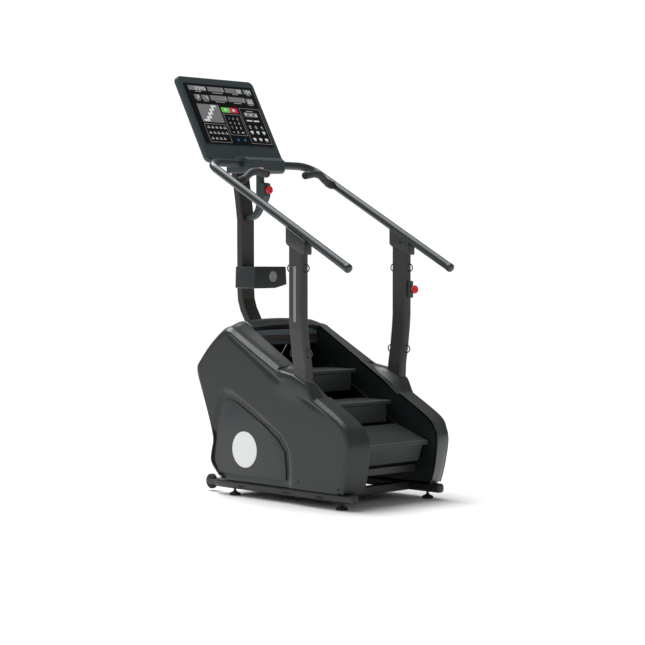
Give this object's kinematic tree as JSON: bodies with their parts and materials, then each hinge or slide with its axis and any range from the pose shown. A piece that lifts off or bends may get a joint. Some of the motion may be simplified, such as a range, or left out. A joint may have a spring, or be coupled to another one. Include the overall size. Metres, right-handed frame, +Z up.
{
  "type": "stair climber",
  "caption": "Free-standing stair climber: a revolving stair between wide side covers, with posts, handrails, grips, stop buttons, a mast and a tilted console.",
  "frame": {"origin": "middle of the footprint on the floor", "axes": "+Z up, +Y from the entry side towards the console, +X to the user's right"},
  "size_m": [0.759, 1.3756, 2.0993],
  "materials": {
    "cover_plastic": "satin moulded plastic",
    "panel_plastic": "fine textured plastic",
    "frame_paint": "satin powder coat",
    "mast_paint": "satin powder coat",
    "rail_paint": "satin powder coat",
    "tread_plastic": "ribbed non-slip plastic",
    "console_plastic": "satin moulded plastic",
    "face_film": "printed overlay film",
    "grip_rubber": "soft touch",
    "black_rubber": "matt",
    "bare_steel": "machined",
    "chain_steel": "oiled dark steel",
    "estop_red": "signal red",
    "button_orange": "translucent orange"
  },
  "bodies": {
    "machine": {"floor_rail_left": "frame_paint", "floor_rail_right": "frame_paint", "front_cross_tube": "frame_paint", "rear_cross_tube": "frame_paint", "side_plate_left": "frame_paint", "side_plate_right": "frame_paint", "front_cross_bar": "frame_paint", "post_left": "frame_paint", "post_right": "frame_paint", "rail_bracket_left": "frame_paint", "rail_bracket_right": "frame_paint", "wheel_bracket_left": "frame_paint", "wheel_bracket_right": "frame_paint", "drive_motor": "frame_paint", "foot_front_left": "black_rubber", "foot_front_right": "black_rubber", "foot_rear_left": "black_rubber", "foot_rear_right": "black_rubber", "drive_belt": "black_rubber", "side_cover_left": "cover_plastic", "side_cover_right": "cover_plastic", "rear_hood": "cover_plastic", "access_panel_left": "panel_plastic", "access_panel_right": "panel_plastic", "inner_rear_panel": "panel_plastic", "handrail_left": "rail_paint", "handrail_right": "rail_paint", "console_hub": "console_plastic", "accessory_tray": "console_plastic", "console_shell": "console_plastic", "estop_arm": "console_plastic", "estop_base_arm": "console_plastic", "estop_base_post": "console_plastic", "console_face": "face_film", "mast": "mast_paint", "grip_left": "grip_rubber", "grip_right": "grip_rubber", "chain_left": "chain_steel", "chain_right": "chain_steel"},
    "drive_shaft": {"upper_shaft": "bare_steel"},
    "idler_shaft": {"lower_shaft": "bare_steel"},
    "motor_rotor": {"motor_pulley": "bare_steel"},
    "step_1": {"tread_1": "tread_plastic", "riser_1": "tread_plastic"},
    "step_2": {"tread_2": "tread_plastic", "riser_2": "tread_plastic"},
    "step_3": {"tread_3": "tread_plastic", "riser_3": "tread_plastic"},
    "step_4": {"tread_4": "tread_plastic", "riser_4": "tread_plastic"},
    "step_5": {"tread_5": "tread_plastic", "riser_5": "tread_plastic"},
    "step_6": {"tread_6": "tread_plastic", "riser_6": "tread_plastic"},
    "transport_wheel_left": {"wheel_left": "black_rubber"},
    "transport_wheel_right": {"wheel_right": "black_rubber"},
    "stop_button_arm": {"estop_button_arm": "estop_red"},
    "stop_button_post": {"estop_button_post": "estop_red"},
    "grip_button_left": {"thumb_button_left": "button_orange"},
    "grip_button_right": {"thumb_button_right": "button_orange"}
  },
  "joints": [
    {"name": "stair_drive", "type": "hinge", "parent": "machine", "child": "drive_shaft", "pos_m": [0, 0.04962, 0.54733], "axis": [1, 0, 0], "range_deg": [-19, 60]},
    {"name": "idler_turn", "type": "hinge", "parent": "machine", "child": "idler_shaft", "pos_m": [0, -0.47035, 0.24104], "axis": [1, 0, 0], "range_deg": [-19.02, 60.02]},
    {"name": "motor_turn", "type": "hinge", "parent": "machine", "child": "motor_rotor", "pos_m": [0, 0.17015, 0.2], "axis": [1, 0, 0], "range_deg": [-56.67, 172.83]},
    {"name": "step_1_turn", "type": "hinge", "parent": "machine", "child": "step_1", "pos_m": [0, -0.47035, 0.24104], "axis": [1, 0, 0], "range_deg": [-19.02, 60.02]},
    {"name": "step_2_run", "type": "slide", "parent": "machine", "child": "step_2", "axis": [0, -0.8616, -0.5075], "range_m": [-0.02507, 0.07874]},
    {"name": "step_3_run", "type": "slide", "parent": "machine", "child": "step_3", "axis": [0, -0.8616, -0.5075], "range_m": [-0.02507, 0.07874]},
    {"name": "step_4_turn", "type": "hinge", "parent": "machine", "child": "step_4", "pos_m": [0, 0.04962, 0.54733], "axis": [1, 0, 0], "range_deg": [-19.02, 60.02]},
    {"name": "step_5_return", "type": "slide", "parent": "machine", "child": "step_5", "axis": [0, 0.8616, 0.5075], "range_m": [-0.02507, 0.07874]},
    {"name": "step_6_return", "type": "slide", "parent": "machine", "child": "step_6", "axis": [0, 0.8616, 0.5075], "range_m": [-0.02507, 0.07874]},
    {"name": "wheel_left_spin", "type": "hinge", "parent": "machine", "child": "transport_wheel_left", "pos_m": [-0.262, 0.38715, 0.048], "axis": [1, 0, 0], "continuous": true},
    {"name": "wheel_right_spin", "type": "hinge", "parent": "machine", "child": "transport_wheel_right", "pos_m": [0.262, 0.38715, 0.048], "axis": [1, 0, 0], "continuous": true},
    {"name": "stop_arm_press", "type": "slide", "parent": "machine", "child": "stop_button_arm", "axis": [0, 1, 0], "range_m": [0, 0.004], "stiffness_N_per_m": 1200, "springref_m": -0.002},
    {"name": "stop_post_press", "type": "slide", "parent": "machine", "child": "stop_button_post", "axis": [0, 1, 0], "range_m": [0, 0.004], "stiffness_N_per_m": 1200, "springref_m": -0.002},
    {"name": "grip_left_press", "type": "slide", "parent": "machine", "child": "grip_button_left", "axis": [0, 0, -1], "range_m": [0, 0.0015], "stiffness_N_per_m": 1500, "springref_m": -0.0005},
    {"name": "grip_right_press", "type": "slide", "parent": "machine", "child": "grip_button_right", "axis": [0, 0, -1], "range_m": [0, 0.0015], "stiffness_N_per_m": 1500, "springref_m": -0.0005}
  ],
  "couplings": [
    {"joint": "idler_turn", "follows": "stair_drive", "ratio": 1},
    {"joint": "motor_turn", "follows": "stair_drive", "ratio": 2.8333},
    {"joint": "step_1_turn", "follows": "stair_drive", "ratio": 1},
    {"joint": "step_2_run", "follows": "stair_drive", "m_per_rad": 0.075},
    {"joint": "step_3_run", "follows": "stair_drive", "m_per_rad": 0.075},
    {"joint": "step_4_turn", "follows": "stair_drive", "ratio": 1},
    {"joint": "step_5_return", "follows": "stair_drive", "m_per_rad": 0.075},
    {"joint": "step_6_return", "follows": "stair_drive", "m_per_rad": 0.075}
  ]
}
